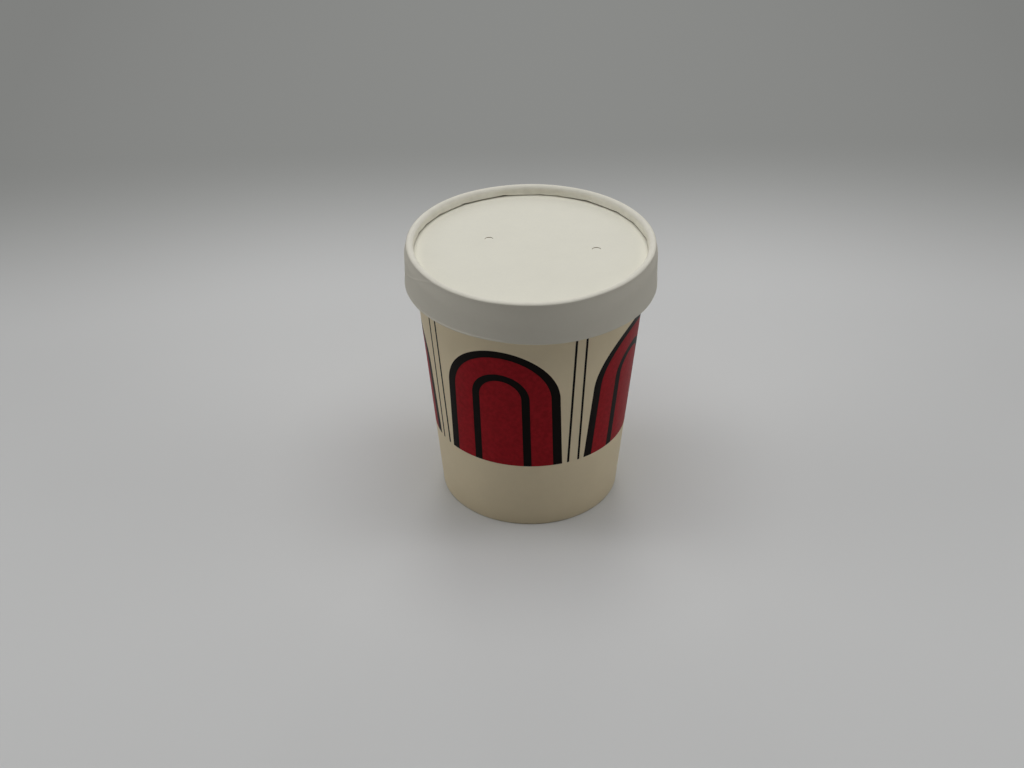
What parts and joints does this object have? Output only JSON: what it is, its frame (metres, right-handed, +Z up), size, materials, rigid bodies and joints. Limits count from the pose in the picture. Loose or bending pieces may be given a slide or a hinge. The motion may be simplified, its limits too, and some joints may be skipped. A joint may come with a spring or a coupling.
{
  "type": "soup cup",
  "caption": "Tapered paper soup cup with a rolled rim and a recessed base, closed by a push-on paper lid with a raised crest and small vent slits.",
  "frame": {"origin": "middle of the foot, on the surface that the cup stands on", "axes": "+Z up along the cup's axis; the pictured side faces -Y, and both glued seams are at the back: the cup's 26 degrees to the left of +Y as the camera sees it, and the lid's 25 degrees to the right"},
  "size_m": [0.101, 0.101, 0.1141],
  "materials": {
    "printed_board": "cream board with a satin print in red and black",
    "base_board": "coated white board",
    "band_board": "matte white board",
    "panel_board": "matte white board"
  },
  "bodies": {
    "cup": {"cup_wall": "printed_board", "cup_base": "base_board"},
    "lid": {"lid_band": "band_board", "lid_disc": "panel_board"}
  },
  "joints": [
    {"name": "lid_lift", "type": "slide", "parent": "cup", "child": "lid", "axis": [0, 0, 1], "range_m": [0, 0.06]}
  ]
}
